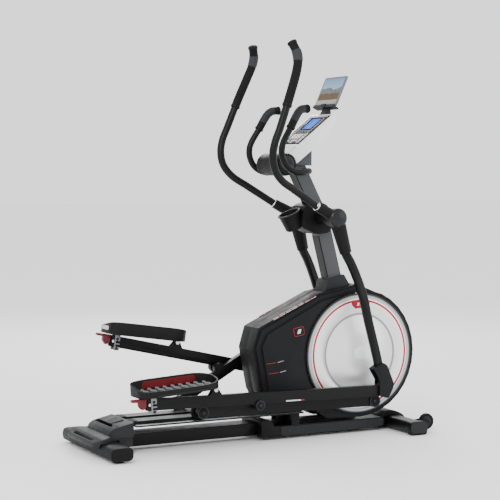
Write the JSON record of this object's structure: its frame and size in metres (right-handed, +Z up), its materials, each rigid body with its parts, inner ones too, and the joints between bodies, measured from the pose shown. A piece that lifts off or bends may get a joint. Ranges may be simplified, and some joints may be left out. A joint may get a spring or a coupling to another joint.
{
  "type": "elliptical trainer",
  "caption": "Rear-railed elliptical trainer with swinging handlebars, roller-carried pedal arms, a covered crank and flywheel, a leaning mast and a console with a tablet rest.",
  "frame": {"origin": "on the floor under the centre of the whole machine's bounding box", "axes": "+X forward (towards the console's back and the transport wheels), +Y to the user's left, +Z up"},
  "size_m": [1.652, 0.594, 1.7831],
  "materials": {
    "frame_paint": "satin black powder coat",
    "mast_paint": "satin mid grey powder coat",
    "housing": "charcoal fine-textured moulding",
    "black_plastic": "black fine-textured moulding",
    "white_plastic": "white satin moulding",
    "disc_face": "brushed silver with a red ring",
    "steel": "machined steel",
    "chrome": "bright chrome",
    "rubber": "black rubber",
    "grip_foam": "black textured foam grip",
    "red_plastic": "dark red moulding",
    "pedal_shell": "black and grey moulding with a ribbed mat",
    "panel": "black framed panel with a blue display",
    "tablet_case": "dark grey case with a lit screen"
  },
  "bodies": {
    "frame": {"rear_base_tube": "frame_paint", "rear_stabilizer": "housing", "rear_cover": "housing", "right_rail": "frame_paint", "left_rail": "frame_paint", "main_base": "frame_paint", "front_stabilizer": "frame_paint", "main_frame": "frame_paint", "mast": "mast_paint", "mast_boot": "housing", "right_shroud": "housing", "left_shroud": "housing", "drive_belt": "rubber", "bottle_holder": "black_plastic", "right_grip_bar": "frame_paint", "left_grip_bar": "frame_paint", "right_pulse_grip": "grip_foam", "left_pulse_grip": "grip_foam", "console_body": "white_plastic", "console_panel": "panel", "console_barrel": "black_plastic", "console_neck": "mast_paint", "tablet_rack": "housing"},
    "crank": {"crank_axle": "steel", "crank_pulley": "black_plastic", "right_crank_arm": "steel", "left_crank_arm": "steel", "right_crank_disc": "disc_face", "left_crank_disc": "disc_face"},
    "flywheel": {"flywheel": "steel"},
    "brake_magnet": {"brake_magnet": "steel"},
    "tablet": {"tablet": "tablet_case"},
    "start_key": {"start_key": "white_plastic"},
    "stop_key": {"stop_key": "red_plastic"},
    "right_swing_arm": {"right_arm_hub": "black_plastic", "right_handlebar": "frame_paint", "right_hand_grip": "grip_foam", "right_lower_arm": "frame_paint", "right_joint_cover": "housing"},
    "right_link": {"right_link": "frame_paint"},
    "right_roller": {"right_roller": "rubber"},
    "right_pedal_arm": {"right_pedal_arm": "frame_paint"},
    "right_pedal": {"right_pedal": "pedal_shell", "right_pedal_bracket": "chrome"},
    "right_release_lever": {"right_release_lever": "red_plastic"},
    "right_transport_wheel": {"right_transport_wheel": "rubber"},
    "right_levelling_foot": {"right_levelling_foot": "rubber"},
    "left_swing_arm": {"left_arm_hub": "black_plastic", "left_handlebar": "frame_paint", "left_hand_grip": "grip_foam", "left_lower_arm": "frame_paint", "left_joint_cover": "housing"},
    "left_link": {"left_link": "frame_paint"},
    "left_roller": {"left_roller": "rubber"},
    "left_pedal_arm": {"left_pedal_arm": "frame_paint"},
    "left_pedal": {"left_pedal": "pedal_shell", "left_pedal_bracket": "chrome"},
    "left_release_lever": {"left_release_lever": "red_plastic"},
    "left_transport_wheel": {"left_transport_wheel": "rubber"},
    "left_levelling_foot": {"left_levelling_foot": "rubber"}
  },
  "joints": [
    {"name": "crank_turn", "type": "hinge", "parent": "frame", "child": "crank", "pos_m": [0.498, 0, 0.367], "axis": [0, 1, 0], "continuous": true},
    {"name": "flywheel_spin", "type": "hinge", "parent": "frame", "child": "flywheel", "pos_m": [0.15, 0, 0.338], "axis": [0, 1, 0], "continuous": true},
    {"name": "brake_magnet_swing", "type": "hinge", "parent": "frame", "child": "brake_magnet", "pos_m": [0.13205, 0, 0.46574], "axis": [0, 1, 0], "range_deg": [0, 9]},
    {"name": "right_arm_swing", "type": "hinge", "parent": "frame", "child": "right_swing_arm", "pos_m": [0.3205, 0, 0.992], "axis": [0, -1, 0], "range_deg": [-14, 14]},
    {"name": "right_link_roll", "type": "slide", "parent": "frame", "child": "right_link", "axis": [1, 0, 0], "range_m": [-0.2, 0.2]},
    {"name": "right_roller_turn", "type": "hinge", "parent": "right_link", "child": "right_roller", "pos_m": [-0.32086, 0, 0.1609], "axis": [0, 1, 0], "range_deg": [-330, 330]},
    {"name": "right_pedal_arm_pivot", "type": "hinge", "parent": "right_link", "child": "right_pedal_arm", "pos_m": [-0.06702, 0, 0.18212], "axis": [0, -1, 0], "range_deg": [-6, 6]},
    {"name": "right_pedal_tilt", "type": "hinge", "parent": "right_pedal_arm", "child": "right_pedal", "pos_m": [-0.27782, 0, 0.2633], "axis": [0, 1, 0], "range_deg": [0, 8]},
    {"name": "right_lever_pull", "type": "hinge", "parent": "right_pedal_arm", "child": "right_release_lever", "pos_m": [-0.61037, 0, 0.2288], "axis": [0, -1, 0], "range_deg": [0, 10], "stiffness_Nm_per_rad": 0.8, "springref_deg": -14.32},
    {"name": "right_wheel_turn", "type": "hinge", "parent": "frame", "child": "right_transport_wheel", "pos_m": [0.788, -0.22, 0.047], "axis": [0, 1, 0], "continuous": true},
    {"name": "right_foot_screw", "type": "slide", "parent": "frame", "child": "right_levelling_foot", "axis": [0, 0, -1], "range_m": [0, 0.012]},
    {"name": "left_arm_swing", "type": "hinge", "parent": "frame", "child": "left_swing_arm", "pos_m": [0.3205, 0, 0.992], "axis": [0, -1, 0], "range_deg": [-14.1, 14.1]},
    {"name": "left_link_roll", "type": "slide", "parent": "frame", "child": "left_link", "axis": [1, 0, 0], "range_m": [-0.2, 0.2]},
    {"name": "left_roller_turn", "type": "hinge", "parent": "left_link", "child": "left_roller", "pos_m": [-0.3087, 0, 0.1609], "axis": [0, 1, 0], "range_deg": [-330, 330]},
    {"name": "left_pedal_arm_pivot", "type": "hinge", "parent": "left_link", "child": "left_pedal_arm", "pos_m": [-0.09874, 0, 0.30515], "axis": [0, -1, 0], "range_deg": [-6, 6]},
    {"name": "left_pedal_tilt", "type": "hinge", "parent": "left_pedal_arm", "child": "left_pedal", "pos_m": [-0.28779, 0, 0.42879], "axis": [0, 1, 0], "range_deg": [0, 8]},
    {"name": "left_lever_pull", "type": "hinge", "parent": "left_pedal_arm", "child": "left_release_lever", "pos_m": [-0.62018, 0, 0.46491], "axis": [0, -1, 0], "range_deg": [0, 10], "stiffness_Nm_per_rad": 0.8, "springref_deg": -14.32},
    {"name": "left_wheel_turn", "type": "hinge", "parent": "frame", "child": "left_transport_wheel", "pos_m": [0.788, 0.22, 0.047], "axis": [0, 1, 0], "continuous": true},
    {"name": "left_foot_screw", "type": "slide", "parent": "frame", "child": "left_levelling_foot", "axis": [0, 0, -1], "range_m": [0, 0.012]},
    {"name": "tablet_lift", "type": "slide", "parent": "frame", "child": "tablet", "axis": [0.4163, 0, 0.9092], "range_m": [0, 0.1]},
    {"name": "start_key_press", "type": "slide", "parent": "frame", "child": "start_key", "axis": [0.6157, 0, -0.788], "range_m": [0, 0.0015], "stiffness_N_per_m": 400, "springref_m": -0.002},
    {"name": "stop_key_press", "type": "slide", "parent": "frame", "child": "stop_key", "axis": [0.6157, 0, -0.788], "range_m": [0, 0.0015], "stiffness_N_per_m": 400, "springref_m": -0.002}
  ],
  "couplings": [
    {"joint": "flywheel_spin", "follows": "crank_turn", "ratio": 6.2727},
    {"joint": "right_link_roll", "follows": "right_arm_swing", "m_per_rad": 0.7708},
    {"joint": "right_roller_turn", "follows": "right_arm_swing", "ratio": 21.41},
    {"joint": "right_pedal_arm_pivot", "follows": "right_arm_swing", "ratio": 0.386},
    {"joint": "left_arm_swing", "follows": "right_arm_swing", "ratio": -1},
    {"joint": "left_link_roll", "follows": "right_arm_swing", "m_per_rad": -0.7816},
    {"joint": "left_roller_turn", "follows": "right_arm_swing", "ratio": -21.71},
    {"joint": "left_pedal_arm_pivot", "follows": "right_arm_swing", "ratio": -0.328}
  ]
}
